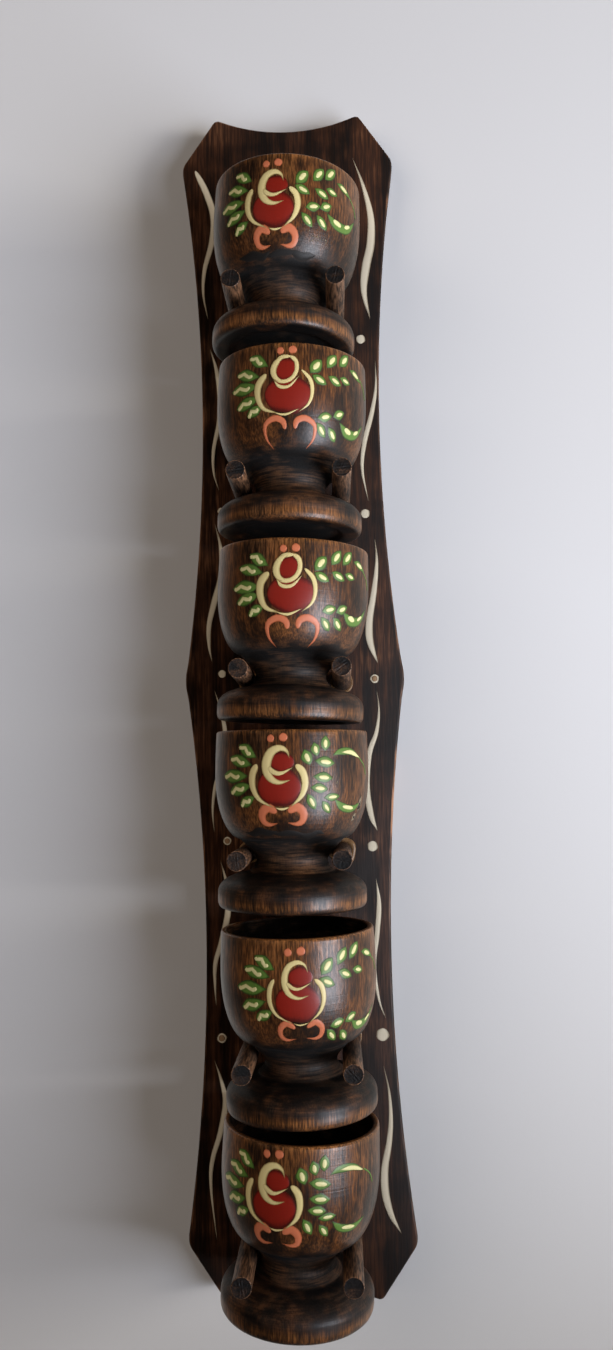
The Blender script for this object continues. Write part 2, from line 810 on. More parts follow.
@dataclass
class Pegs:
    """The two dowels of one station, glued into the board."""

    number: int
    radius: float = 3.0
    chamfer: float = 0.35
    end_ring: float = 0.45        # width of the rings of faces on the sawn end
    ridge: float = 0.09           # height of a saw ridge
    board_face: float = -10.0
    bead: float = 3.7             # how far the glue reaches from the dowel's axis
    proud_bead: float = 4.6       # and where more of it squeezed out
    proud: tuple[int, str] = (4, "right")

    def build(self, side: str) -> bpy.types.Object:
        """Saws one dowel to length: a cylinder with a broken edge and a rough end.

        Args:
            side: left or right.

        Returns:
            The dowel, in its place.
        """
        node = f"peg_{self.number}_{side}"
        axis = Axis.of(node, OUT)
        deselect()
        bpy.ops.mesh.primitive_cylinder_add(
            vertices=40,
            radius=self.radius * MM,
            depth=axis.length * MM,
            location=(0, 0, axis.length * MM / 2),
        )
        obj = bpy.context.active_object
        choose(obj)
        bpy.ops.object.transform_apply(location=True)
        edit(obj)
        top = axis.length - 0.01
        pick("EDGE", lambda p: p.z > top)
        bpy.ops.mesh.bevel(offset=self.chamfer * MM, segments=3, profile=0.6, affect="EDGES")
        pick("FACE", lambda p: p.z > top)
        for _ in range(5):
            bpy.ops.mesh.inset(thickness=self.end_ring * MM)
        bpy.ops.mesh.poke()
        settle(obj, f"sawn_peg_{self.number}_{side}", 50)
        self.roughen(obj, axis.length)
        obj.data.transform(axis.matrix())
        return obj

    def roughen(self, obj: bpy.types.Object, length: float) -> None:
        """Leaves the saw's ridges on the end, and stores where the dowel is worn and grimy."""
        draw = random.Random(self.number * 7 + len(obj.name))
        slant = draw.uniform(0, math.pi)
        wear, grime = [], []
        for vertex in obj.data.vertices:
            place = vertex.co / MM
            reach = math.hypot(place.x, place.y) / self.radius
            on_end = place.z > length - 0.02
            if on_end and reach < 0.93:
                across = place.x * math.cos(slant) + place.y * math.sin(slant)
                ridge = self.ridge * math.sin(across * 7.0) + draw.uniform(-0.07, 0.07)
                vertex.co.z += (ridge - 0.1) * MM
            edge = length - place.z < 0.5 and reach > 0.85
            wear.append(0.55 if edge and not on_end else 0.0)
            grime.append(0.55 if on_end else 0.15)
        mark(obj, "wear", wear)
        mark(obj, "grime", grime)

    def glue(self, side: str, spread: float) -> bpy.types.Object:
        """Lays the bead of glue that squeezed out round a dowel's foot.

        Args:
            side: left or right.
            spread: how far it reaches from the dowel's axis.

        Returns:
            The bead, lying on the board.
        """
        axis = Axis.of(f"peg_{self.number}_{side}", OUT)
        way = (self.board_face - axis.foot.y) / axis.direction.y
        centre = axis.foot + axis.direction * way
        thick = (spread - self.radius) / 2 + 0.15
        deselect()
        bpy.ops.mesh.primitive_torus_add(
            major_segments=36,
            minor_segments=10,
            major_radius=(self.radius + thick - 0.15) * MM,
            minor_radius=thick * MM,
            rotation=(math.pi / 2, 0, 0),
        )
        obj = settle(bpy.context.active_object, f"glue_bead_{self.number}_{side}", 80)
        draw = random.Random(self.number * 3 + len(side))
        phases = [draw.uniform(0, math.tau) for _ in range(3)]
        for vertex in obj.data.vertices:
            place = vertex.co / MM
            angle = math.atan2(place.z, place.x)
            uneven = sum(math.sin(angle * (k + 2) + p) for k, p in enumerate(phases)) / 3
            ring = math.hypot(place.x, place.z)
            grown = ring + max(0.0, ring - self.radius) * 0.35 * uneven
            vertex.co = Vector((
                math.cos(angle) * grown,
                place.y * (0.55 + 0.25 * uneven),
                math.sin(angle) * grown,
            )) * MM
        obj.data.transform(Matrix.Translation(centre * MM))
        return obj

    def dress(self) -> None:
        """Makes and finishes both dowels and their glue."""
        for side in SIDES:
            peg = self.build(side)
            dress(peg, PEG_WOOD)
            hand_over(peg, "rack", "peg_wood", f"peg_{self.number}_{side}")
            proud = (self.number, side) == self.proud
            glue = self.glue(side, self.proud_bead if proud else self.bead)
            dress(glue, GLUE)
            hand_over(glue, "rack", "glue")


@dataclass
class BackBoard:
    """The tall board with hollow sides and notched ends, planed, rounded over and drilled."""

    tip: float = 25.5             # half the distance between the tips of an end
    corner_drop: float = 17.5     # from a tip down to the side corner
    corner_flat: float = 3.0
    end_hollow: float = 5.5
    side_hollow: float = 6.45
    corner_round: float = 1.8
    edge_round: float = 0.8       # on the front
    back_round: float = 0.5
    drill: float = 3.15           # radius of a peg hole
    drill_lead: float = 0.4       # the drill starts this far outside the back of the peg
    drill_rise: float = 1.5       # and ends this far in front of the board
    seat: tuple[float, float, float] = (34.6, 11.6, 1.85)     # width, height and depth
    pocket: tuple[float, float, float] = (14.0, 9.0, 5.0)
    low: Vector = field(init=False)
    high: Vector = field(init=False)

    def __post_init__(self) -> None:
        """Takes the board's box from the CAD node."""
        self.low, self.high = (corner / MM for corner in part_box("back_board"))

    @staticmethod
    def arc(a: Vector, b: Vector, sagitta: float, steps: int) -> list[Vector]:
        """Points on the arc from a to b that bows to the left of the way by the sagitta."""
        chord = b - a
        half = chord.length / 2
        radius = (half * half + sagitta * sagitta) / (2 * sagitta)
        sweep = math.asin(half / radius)
        along = chord.normalized()
        left = Vector((-along.y, along.x))
        made = []
        for i in range(steps + 1):
            angle = sweep * (2 * i / steps - 1)
            sag = sagitta - radius * (1 - math.cos(angle))
            made.append((a + b) / 2 + along * (radius * math.sin(angle)) + left * sag)
        return made

    @staticmethod
    def rounded(before: Vector, corner: Vector, after: Vector, radius: float) -> list[Vector]:
        """Points of a small round in place of a sharp corner."""
        start = corner + (before - corner).normalized() * radius
        end = corner + (after - corner).normalized() * radius
        return [start.lerp(corner, t).lerp(corner.lerp(end, t), t) for t in (0, 0.25, 0.5, 0.75, 1)]

    def outline(self) -> list[Vector]:
        """The whole outline as (x, z), from the middle of the top edge round to the right."""
        width, length = self.high.x, self.high.z + 0.5
        tip = Vector((self.tip, length))
        shoulder = Vector((width, length - self.corner_drop))
        hip = shoulder - Vector((0, self.corner_flat))
        middle = Vector((width, 0))
        top = self.arc(Vector((-self.tip, length)), tip, -self.end_hollow, 28)[14:-1]
        side = self.arc(hip, middle, -self.side_hollow, 26)[:-1]
        quarter = [
            *top,
            *self.rounded(top[-1], tip, shoulder, self.corner_round),
            *self.rounded(tip, shoulder, hip, self.corner_round),
            *side,
            Vector((width - 0.12, 2.4)),
            Vector((width - 0.02, 0.9)),
        ]
        right = quarter + [Vector((p.x, -p.y)) for p in reversed(quarter)]
        left = [Vector((-p.x, p.y)) for p in reversed(right[1:-1])]
        return right + left

    def build(self) -> bpy.types.Object:
        """Saws out the outline, rounds over its edges and drills it."""
        outline = self.outline()
        obj = chain(Vector((p.x, self.high.y, p.y)) for p in outline)
        bpy.ops.mesh.select_all(action="SELECT")
        bpy.ops.mesh.edge_face_add()
        depth = self.high.y - self.low.y
        bpy.ops.mesh.extrude_region_move(TRANSFORM_OT_translate={"value": (0, -depth * MM, 0)})
        bpy.ops.mesh.select_all(action="SELECT")
        bpy.ops.mesh.normals_make_consistent(inside=False)
        front, back = self.low.y + 0.01, self.high.y - 0.01
        pick("EDGE", lambda p: p.y < front)
        bpy.ops.mesh.bevel(offset=self.edge_round * MM, segments=4, profile=0.5, affect="EDGES")
        pick("EDGE", lambda p: p.y > back)
        bpy.ops.mesh.bevel(offset=self.back_round * MM, segments=3, profile=0.5, affect="EDGES")
        deselect()
        cut(obj, self.drills())
        cut(obj, self.hanger_seat())
        settle(obj, "planed_back_board", 35)
        self.weather(obj)
        return obj

    def drills(self) -> bpy.types.Object:
        """Twelve drills, one on each peg's axis, joined as one cutter."""
        made = []
        for number in STATIONS:
            for side in SIDES:
                axis = Axis.of(f"peg_{number}_{side}", OUT)
                start, end = -self.drill_lead, self.drill_rise - self.low.y
                centre = axis.foot + axis.direction * (start + end) / 2
                bpy.ops.mesh.primitive_cylinder_add(
                    vertices=32,
                    radius=self.drill * MM,
                    depth=(end - start) * MM,
                    location=centre * MM,
                    rotation=axis.direction.to_track_quat("Z", "X").to_euler(),
                )
                made.append(bpy.context.active_object)
        return settle(join(made), "drills", None)

    def hanger_seat(self) -> bpy.types.Object:
        """The shallow seat of the hanger plate and the pocket behind it, as one cutter."""
        low, high = (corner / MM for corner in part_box("hanger_plate"))
        middle = (low + high) / 2
        made = []
        for width, tall, depth in (self.seat, self.pocket):
            bpy.ops.mesh.primitive_cube_add(
                size=1, location=(middle.x * MM, (0.5 - depth / 2) * MM, middle.z * MM)
            )
            block = bpy.context.active_object
            block.scale = (width * MM, (depth + 1) * MM, tall * MM)
            settle(block, "block", None)
            edit(block)
            pick_corners(block, width, tall, middle)
            bpy.ops.mesh.bevel(offset=(tall / 2 - 0.05) * MM, segments=10, affect="EDGES")
            deselect()
            made.append(block)
        seat, pocket = made
        cut(seat, pocket, "UNION")
        return seat

    def weather(self, obj: bpy.types.Object) -> None:
        """Stores the worn front edges, most worn below the right hip, and the dirt in the holes."""
        x, y, z = places_of(obj).T
        slack = 0.05
        on_face = (y < self.low.y + slack) | (y > self.high.y - slack)
        front_edge = ~on_face & (y < self.low.y + self.edge_round - slack)
        below_hip = ~on_face & (x > 30) & (abs(z + 38) < 16)
        in_hole = (y > self.low.y + 0.1) & (y < -0.1) & (abs(x) < 24) & (abs(z) < 196)
        mark(obj, "wear", np.where(front_edge, 0.22, 0.0) + np.where(below_hip, 0.5, 0.0))
        mark(obj, "grime", np.where(in_hole, 0.9, 0.0))

    def dress(self, obj: bpy.types.Object) -> None:
        """Stains and lacquers the board."""
        dress(obj, BOARD_WOOD)
        hand_over(obj, "rack", "board_wood", "back_board")


def pick_corners(block: bpy.types.Object, width: float, tall: float, middle: Vector) -> None:
    """Selects a block's four edges that run from front to back."""
    bpy.ops.mesh.select_mode(type="EDGE")
    bpy.ops.mesh.select_all(action="DESELECT")
    mesh = bmesh.from_edit_mesh(block.data)
    for line in mesh.edges:
        a, b = (v.co / MM - middle for v in line.verts)
        if abs(a.x - b.x) < 0.01 and abs(a.z - b.z) < 0.01:
            line.select_set(abs(a.x) > width / 2 - 0.01 and abs(a.z) > tall / 2 - 0.01)
    mesh.select_flush_mode()
    bmesh.update_edit_mesh(block.data)


@dataclass
class Hanger:
    """The slotted brass plate let into the back, and the two panel pins that hold it."""

    slot: Pair = (8.0, 7.0)
    pin_head: float = 1.4
    pin_shank: float = 0.6

    def build_plate(self) -> bpy.types.Object:
        """Stamps the plate: a strip with round ends, a slot with a notch, and two pin holes."""
        low, high = (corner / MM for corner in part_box("hanger_plate"))
        size, middle = high - low, (low + high) / 2
        deselect()
        bpy.ops.mesh.primitive_cube_add(size=1, location=middle * MM)
        obj = bpy.context.active_object
        obj.scale = size * MM
        settle(obj, "plate", None)
        edit(obj)
        pick_corners(obj, size.x, size.z, middle)
        bpy.ops.mesh.bevel(offset=(size.z / 2 - 0.02) * MM, segments=14, affect="EDGES")
        deselect()
        cut(obj, self.notched_slot(middle))
        for side in SIDES:
            pin = Axis.of(f"hanger_nail_{side}", Vector((0, 1, 0)))
            bpy.ops.mesh.primitive_cylinder_add(
                vertices=24,
                radius=(self.pin_shank + 0.2) * MM,
                depth=4 * MM,
                location=Vector((pin.foot.x, middle.y, pin.foot.z)) * MM,
                rotation=(math.pi / 2, 0, 0),
            )
            cut(obj, settle(bpy.context.active_object, "punch", None))
        edit(obj)
        bpy.ops.mesh.remove_doubles(threshold=WELD)
        deselect()
        return settle(obj, "stamped_hanger_plate", 30)

    def notched_slot(self, middle: Vector) -> bpy.types.Object:
        """The opening's outline, drawn, filled and drawn out as a cutter."""
        half, tall = self.slot[0] / 2, self.slot[1]
        foot, notch, tip = -tall / 2, tall / 6, tall / 2
        corners = [(-half, foot), (half, foot), (half, notch), (0, tip), (-half, notch)]
        obj = chain(Vector((middle.x + x, middle.y + 2, middle.z + z)) for x, z in corners)
        bpy.ops.mesh.select_all(action="SELECT")
        bpy.ops.mesh.edge_face_add()
        bpy.ops.mesh.extrude_region_move(TRANSFORM_OT_translate={"value": (0, -4 * MM, 0)})
        bpy.ops.mesh.select_all(action="SELECT")
        bpy.ops.mesh.normals_make_consistent(inside=False)
        return settle(obj, "slot", None)

    def build_pin(self, side: str) -> bpy.types.Object:
        """Makes one panel pin: a small round head, and a shank that ends in a point."""
        node = f"hanger_nail_{side}"
        axis = Axis.of(node, OUT)
        head, point = 0.45, 1.2
        deselect()
        bpy.ops.mesh.primitive_cylinder_add(
            vertices=28, radius=self.pin_head * MM, depth=head * MM, location=(0, 0, head * MM / 2)
        )
        obj = settle(bpy.context.active_object, "pin", None)
        edit(obj)
        pick("EDGE", lambda p: p.z < 0.01)
        bpy.ops.mesh.bevel(offset=0.2 * MM, segments=3, profile=0.5, affect="EDGES")
        pick("FACE", lambda p: p.z > head - 0.01)
        bpy.ops.mesh.inset(thickness=(self.pin_head - self.pin_shank) * MM)
        for length in (axis.length - head - point, point):
            bpy.ops.mesh.extrude_region_move(TRANSFORM_OT_translate={"value": (0, 0, length * MM)})
        bpy.ops.transform.resize(value=(0.08, 0.08, 1.0), center_override=(0, 0, 0))
        settle(obj, f"panel_pin_{side}", 35)
        obj.data.transform(axis.matrix())
        return obj

    def dress(self) -> None:
        """Makes and finishes the plate and its pins."""
        plate = self.build_plate()
        dress(plate, PLATE_BRASS)
        hand_over(plate, "rack", "plate_brass", "hanger_plate")
        for side in SIDES:
            pin = self.build_pin(side)
            dress(pin, NAIL_STEEL)
            hand_over(pin, "rack", "nail_steel", f"hanger_nail_{side}")


# ---------------------------------------------------------------- painting


class Touch(Enum):
    """How the brush was set down and lifted."""

    COMMA = "set down full, then drawn to a point"
    LEAF = "pointed at both ends"
    DAB = "an oval, pressed and lifted"
    LINE = "one width, with short ends"

    def width(self, s: float, peak: float) -> float:
        """The share of the full width at a share s of the way along.

        Args:
            s: from 0 at the start to 1 at the end.
            peak: where the touch is widest.

        Returns:
            From 0 to 1.
        """
        if self is Touch.DAB:
            return math.sqrt(max(0.0, 1 - (2 * s - 1) ** 2))
        if self is Touch.LINE:
            return math.sqrt(max(0.0, min(1.0, s / 0.06, (1 - s) / 0.06)))
        if s > peak:
            fall = (s - peak) / (1 - peak)
            return math.cos(fall * math.pi / 2) ** 0.85 if fall < 1 else 0.0
        if self is Touch.COMMA:
            return math.sqrt(max(0.0, 1 - (1 - s / peak) ** 3))
        return math.sin(s / peak * math.pi / 2) ** 1.1


@dataclass(frozen=True)
class Stroke:
    """One touch of the brush, on a surface unrolled flat: a smooth path, with its widest width."""

    paint: Paint
    path: Path
    width: float
    touch: Touch = Touch.COMMA
    peak: float = 0.35
    layer: int = 0

    def moved(self, du: float, dv: float, weight: float = 1.0) -> "Stroke":
        """The same stroke, shifted, and lighter or heavier. A dab keeps its width."""
        path = tuple((u + du, v + dv) for u, v in self.path)
        width = self.width if self.touch is Touch.DAB else self.width * weight
        return Stroke(self.paint, path, width, self.touch, self.peak, self.layer)

    def along(self, s: float) -> Vector:
        """The point of the path at a share s of the way, on a smooth curve through its points."""
        points = [Vector(p) for p in self.path]
        if len(points) == 2:
            return points[0].lerp(points[1], s)
        first, last = 2 * points[0] - points[1], 2 * points[-1] - points[-2]
        padded = [first, *points, last]
        spans = len(points) - 1
        i = min(int(s * spans), spans - 1)
        t = s * spans - i
        a, b, c, d = padded[i : i + 4]
        return 0.5 * (
            2 * b + (c - a) * t + (2 * a - 5 * b + 4 * c - d) * t**2 + (3 * b - a - 3 * c + d) * t**3
        )


class Ground:
    """A surface to paint on. Its flat coordinates are u, across, and v, up, in millimetres."""

    def at(self, u: float, v: float, lift: float) -> Vector:
        """The point over (u, v), at a height above the surface, in millimetres."""
        raise NotImplementedError


@dataclass
class BoardGround(Ground):
    """The front of the board."""

    face: float = -10.0

    def at(self, u: float, v: float, lift: float) -> Vector:
        """The point over (u, v) of the board's front."""
        return Vector((u, self.face - lift, v))


@dataclass
class BowlGround(Ground):
    """The outside of one cup's bowl, unrolled about a line that looks some degrees to the side."""

    cup: EggCup
    facing: float

    def at(self, u: float, v: float, lift: float) -> Vector:
        """The point over (u, v) of the bowl."""
        angle = math.radians(self.facing) + u / self.cup.bowl
        radius, slope = self.cup.skin(v)
        lean = math.atan(slope)
        reach = radius + lift * math.cos(lean)
        local = Vector((
            reach * math.sin(angle),
            -reach * math.cos(angle),
            v - lift * math.sin(lean),
        ))
        return (self.cup.axis.matrix() @ (local * MM)) / MM


@dataclass
class Painter:
    """Lays strokes on a surface as thin domed films, one mesh for each colour."""

    ground: Ground
    label: str
    body: str
    film: float = 0.1             # height of the dome in the middle of a stroke
    sheet: float = 0.3            # thickness of the film, most of it below the surface
    layer_step: float = 0.05      # a later touch lies this much higher
    cell: float = 0.7             # length of a face along a stroke
    draw: random.Random = field(default_factory=lambda: random.Random(5))

    def lay(self, stroke: Stroke) -> bpy.types.Object:
        """Lays one stroke: a small grid, drawn out along the path and pressed on the surface."""
        stops = [stroke.along(i / 12) for i in range(13)]
        length = sum((b - a).length for a, b in zip(stops, stops[1:]))
        cells = max(10, min(44, int(length / self.cell)))
        deselect()
        bpy.ops.mesh.primitive_grid_add(x_subdivisions=cells, y_subdivisions=6, size=2)
        obj = bpy.context.active_object
        phase = self.draw.uniform(0, math.tau)
        loads = []
        for vertex in obj.data.vertices:
            s = (1 - math.cos((vertex.co.x + 1) / 2 * math.pi)) / 2
            t = vertex.co.y
            here = stroke.along(s)
            ahead = stroke.along(min(1.0, s + 0.01)) - stroke.along(max(0.0, s - 0.01))
            side = Vector((-ahead.y, ahead.x)).normalized()
            share = stroke.touch.width(s, stroke.peak)
            uneven = 1 + 0.06 * math.sin(s * 9 + phase + t)
            spot = here + side * (t * share * uneven * stroke.width / 2)
            dome = (1 - t * t) * min(1.0, share * 1.5)
            lift = 0.02 + stroke.layer * self.layer_step + self.film * dome
            vertex.co = self.ground.at(spot.x, spot.y, lift) * MM
            loads.append(0.12 + 0.88 * min(1.0, 1.6 * dome))
        mark(obj, "load", loads)
        return obj

    def paint(self, strokes: list[Stroke]) -> None:
        """Lays all strokes and finishes them, colour by colour."""
        for paint in Paint:
            films = [self.lay(stroke) for stroke in strokes if stroke.paint is paint]
            if not films:
                continue
            obj = join(films)
            edit(obj)
            bpy.ops.mesh.remove_doubles(threshold=WELD)
            choose(obj)
            thickness = obj.modifiers.new("film", "SOLIDIFY")
            thickness.thickness = self.sheet * MM
            thickness.offset = -1 if self.faces_out(obj) else 1
            bpy.ops.object.modifier_apply(modifier=thickness.name)
            edit(obj)
            bpy.ops.mesh.normals_make_consistent(inside=False)
            colour = paint.name.lower()
            settle(obj, f"{self.label}_{colour}_paint", 60)
            dress(obj, paint.finish)
            hand_over(obj, self.body, paint.slot)

    @staticmethod
    def faces_out(obj: bpy.types.Object) -> bool:
        """Whether a laid film's faces look away from the rack, towards -Y."""
        return sum(face.normal.y * face.area for face in obj.data.polygons) < 0


class Rose(Enum):
    """How the heart of the flower is drawn."""

    HOODED = "a comma over the heart"
    RINGED = "a closed ring round the heart"


class Spray(Enum):
    """How the leaves to the right of the flower are set."""

    LADDER = "rungs up a straight stem"
    BRANCH = "loose leaves round a bend"


@dataclass(frozen=True)
class Flower:
    """A plain folk flower in comma strokes: a round red bud in cream petals, with scrolls and leaves."""

    rose: Rose
    spray: Spray
    facing: float                 # degrees round the bowl from the front, to the right
    rise: float = 0.0
    weight: float = 1.0           # how hard the brush was pressed
    arched: bool = False          # tall scrolls under the flower instead of short curls
    droop: float = 0.0            # how far the lower leaves on the right hang down

    def heart(self) -> list[Stroke]:
        """The red bud and the cream strokes that hold it."""
        if self.rose is Rose.HOODED:
            return [
                Stroke(Paint.RED, ((-6.6, 36.9), (6.6, 36.9)), 11.8, Touch.DAB),
                Stroke(Paint.RED, ((-2.6, 44.2), (4.6, 44.0)), 6.0, Touch.DAB),
                Stroke(
                    Paint.CREAM,
                    ((3.2, 45.2), (2.3, 47.4), (0.2, 48.3), (-2.3, 47.2), (-3.6, 44.6), (-3.6, 41.8),
                     (-2.4, 39.4), (0.2, 38.2), (3.4, 38.9)),
                    2.7, Touch.LEAF, 0.5, 2,
                ),
                Stroke(
                    Paint.CREAM, ((-3.2, 42.6), (-1.3, 41.1), (0.8, 40.9), (4.2, 42.6)),
                    1.5, Touch.COMMA, 0.2, 3,
                ),
                Stroke(
                    Paint.CREAM, ((-6.8, 43.6), (-8.2, 40.6), (-8.2, 36.6), (-6.3, 33.2), (-1.8, 30.9)),
                    2.1, Touch.COMMA, 0.25, 2,
                ),
                Stroke(
                    Paint.CREAM, ((5.0, 43.4), (7.1, 41.2), (7.7, 37.6), (6.5, 34.0), (3.4, 31.1)),
                    2.1, Touch.COMMA, 0.3, 2,
                ),
                Stroke(Paint.CREAM, ((-1.4, 30.9), (0.6, 30.4), (3.2, 31.0)), 0.7, Touch.LEAF, 0.5, 2),
            ]
        return [
            Stroke(Paint.RED, ((-7.2, 37.5), (7.6, 37.5)), 11.8, Touch.DAB),
            Stroke(Paint.RED, ((-4.0, 45.2), (2.8, 45.2)), 7.2, Touch.DAB),
            Stroke(
                Paint.CREAM,
                ((0.9, 49.3), (-2.4, 48.8), (-4.5, 46.0), (-4.2, 42.9), (-1.8, 41.3), (1.0, 42.2),
                 (2.6, 44.9), (2.3, 47.9), (0.4, 49.4)),
                1.3, Touch.LINE, 0.5, 2,
            ),
            Stroke(
                Paint.CREAM, ((0.2, 49.5), (-2.9, 48.2), (-4.5, 45.2), (-3.7, 42.4), (-0.8, 41.0)),
                2.0, Touch.LEAF, 0.5, 3,
            ),
            Stroke(
                Paint.CREAM, ((-4.4, 41.9), (-2.6, 39.8), (0.4, 39.9), (3.4, 43.2)),
                1.1, Touch.LEAF, 0.4, 3,
            ),
            Stroke(
                Paint.CREAM, ((-6.8, 44.0), (-9.2, 40.8), (-9.4, 36.9), (-7.6, 33.4), (-2.8, 31.7)),
                2.3, Touch.COMMA, 0.25, 2,
            ),
            Stroke(
                Paint.CREAM, ((4.0, 45.2), (6.8, 42.2), (7.5, 38.4), (6.4, 34.8), (3.4, 32.2)),
                1.3, Touch.COMMA, 0.3, 2,
            ),
            Stroke(Paint.CREAM, ((-4.8, 32.2), (-0.8, 31.4), (3.6, 33.2)), 0.7, Touch.LEAF, 0.5, 3),
        ]

    def scrolls(self) -> list[Stroke]:
        """Two salmon dots above the flower, and a pair of scrolls below."""
        curl = ((-1.0, 29.4), (-3.6, 30.9), (-5.7, 29.2), (-5.6, 26.8), (-3.8, 25.8), (-0.8, 26.2))
        arch = ((-0.8, 27.2), (-1.5, 29.5), (-4.2, 30.4), (-7.4, 28.6), (-7.5, 24.8), (-5.4, 22.0))
        left = arch if self.arched else curl
        width = 1.9 if self.arched else 2.6
        return [
            Stroke(Paint.SALMON, ((-3.6, 51.0), (-1.4, 51.2)), 2.4, Touch.DAB),
            Stroke(Paint.SALMON, ((0.0, 51.3), (2.6, 51.5)), 2.6, Touch.DAB),
            Stroke(Paint.SALMON, left, width, Touch.COMMA, 0.25),
            Stroke(Paint.SALMON, tuple((1.6 - u, v + 0.2) for u, v in left), width, Touch.COMMA, 0.25),
        ]

    def fan(self) -> list[Stroke]:
        """Five leaves to the left of the flower, each with a pale wriggle on it."""
        rows = (
            ((-6.6, 45.8), (-13.2, 49.8), 3.9), ((-8.2, 43.6), (-17.4, 46.0), 4.0),
            ((-9.2, 40.2), (-20.4, 40.2), 4.4), ((-9.0, 37.2), (-18.2, 34.8), 4.0),
            ((-7.8, 34.4), (-14.0, 31.6), 3.4),
        )
        made = []
        for start, end, width in rows:
            made.append(Stroke(Paint.GREEN, (start, end), width, Touch.LEAF, 0.55))
            made.append(self.wriggle(start, end))
        return made

    def sprig(self) -> list[Stroke]:
        """The leaves to the right of the flower, each with a pale touch on it."""
        fall = self.droop
        if self.spray is Spray.LADDER:
            rows = (
                ((7.4, 48.2), (9.2, 43.4), 2.8), ((10.8, 50.4), (11.8, 46.2), 2.4),
                ((14.6, 51.6), (14.4, 46.9), 2.6), ((10.2, 44.2), (17.0, 43.4), 2.6),
                ((9.8, 40.2), (16.2, 39.6), 2.5), ((9.4, 36.6), (15.2, 36.0), 2.3),
                ((8.2, 34.6), (11.0, 29.8), 2.3), ((13.2, 34.0), (19.0, 34.4), 1.9),
                ((13.0, 32.6), (16.2, 28.8), 2.0),
            )
        else:
            rows = (
                ((6.6, 44.6), (10.4, 49.4), 3.0), ((12.2, 46.8), (15.8, 51.8), 2.7),
                ((16.6, 47.6), (20.6, 52.4), 2.6), ((6.8, 43.8), (11.8, 41.4), 2.4),
                ((12.6, 44.6), (17.6, 42.4), 2.3), ((17.4, 45.2), (22.0, 44.2), 2.0),
                ((9.6, 37.6 - fall), (14.8, 39.0 - fall), 2.4),
                ((15.2, 38.2 - fall), (19.6, 40.4 - fall), 2.4),
                ((9.4, 36.2 - fall), (13.4, 32.2 - fall), 2.2),
                ((14.0, 36.0 - fall), (18.2, 32.2 - fall), 2.2),
            )
        made = []
        for start, end, width in rows:
            made.append(Stroke(Paint.GREEN, (start, end), width * 1.35, Touch.LEAF, 0.5))
            made.append(self.gleam(start, end, width))
        return made

    @staticmethod
    def wriggle(start: Pair, end: Pair) -> Stroke:
        """A pale wriggle along the outer part of a leaf."""
        a, b = Vector(start), Vector(end)
        side = Vector((a.y - b.y, b.x - a.x)).normalized() * 0.5
        path = tuple(
            tuple(a.lerp(b, t) + side * sway)
            for t, sway in ((0.3, -0.4), (0.45, 1.0), (0.65, -1.0), (0.82, 0.8), (0.9, 0.0))
        )
        return Stroke(Paint.LIGHT_GREEN, path, 1.3, Touch.LINE, 0.5, 2)

    @staticmethod
    def gleam(start: Pair, end: Pair, width: float) -> Stroke:
        """A short pale touch inside a leaf."""
        a, b = Vector(start), Vector(end)
        path = (tuple(a.lerp(b, 0.28)), tuple(a.lerp(b, 0.8)))
        return Stroke(Paint.LIGHT_GREEN, path, width * 0.56, Touch.DAB, 0.5, 2)

    def tendrils(self) -> list[Stroke]:
        """The long leaves that close the spray on the far right, and a thin stem."""
        if self.spray is Spray.LADDER:
            return [
                Stroke(Paint.GREEN, ((16.4, 46.2), (19.6, 47.5), (24.0, 47.4), (29.0, 45.4)), 2.4,
                       Touch.LEAF, 0.5),
                Stroke(Paint.LIGHT_GREEN, ((19.6, 47.3), (24.0, 47.2), (28.6, 45.6)), 1.4,
                       Touch.LEAF, 0.5, 2),
                Stroke(Paint.GREEN, ((28.2, 45.8), (31.6, 43.4), (33.2, 40.4)), 0.5, Touch.LINE),
                Stroke(Paint.GREEN, ((16.8, 33.0), (20.0, 30.6), (25.2, 29.6), (30.0, 31.6)), 2.6,
                       Touch.LEAF, 0.45),
                Stroke(Paint.LIGHT_GREEN, ((20.4, 30.5), (25.6, 29.8)), 1.3, Touch.DAB, 0.5, 2),
            ]
        fall = self.droop
        return [
            Stroke(Paint.GREEN, ((21.4, 48.8), (24.4, 48.2), (28.2, 46.6)), 2.4, Touch.LEAF, 0.5),
            Stroke(Paint.LIGHT_GREEN, ((23.0, 48.5), (26.2, 47.5)), 1.4, Touch.DAB, 0.5, 2),
            Stroke(Paint.GREEN, ((27.4, 46.9), (30.6, 44.6), (32.4, 41.6)), 0.5, Touch.LINE),
            Stroke(
                Paint.GREEN,
                ((17.6, 38.0 - fall), (21.8, 35.6 - fall), (27.4, 36.2 - fall), (31.4, 40.6 - fall)),
                3.3, Touch.LEAF, 0.4,
            ),
            Stroke(Paint.LIGHT_GREEN, ((20.4, 36.5 - fall), (24.0, 35.8 - fall)), 1.7, Touch.DAB, 0.5, 2),
            Stroke(Paint.LIGHT_GREEN, ((25.6, 36.2 - fall), (28.4, 37.6 - fall)), 1.3, Touch.DAB, 0.5, 2),
        ]

    def strokes(self, draw: random.Random) -> list[Stroke]:
        """Every stroke of the flower, the leaves each set down a little off their marks.

        Args:
            draw: the source of the painter's small misses.

        Returns:
            The strokes, in the bowl's flat coordinates.
        """
        made = [stroke.moved(0, self.rise, self.weight) for stroke in self.heart() + self.scrolls()]
        miss = (0.0, 0.0)
        for stroke in self.fan() + self.sprig() + self.tendrils():
            if stroke.layer == 0:
                miss = (draw.uniform(-0.5, 0.5), draw.uniform(-0.5, 0.5) + self.rise)
            made.append(stroke.moved(*miss))
        return made


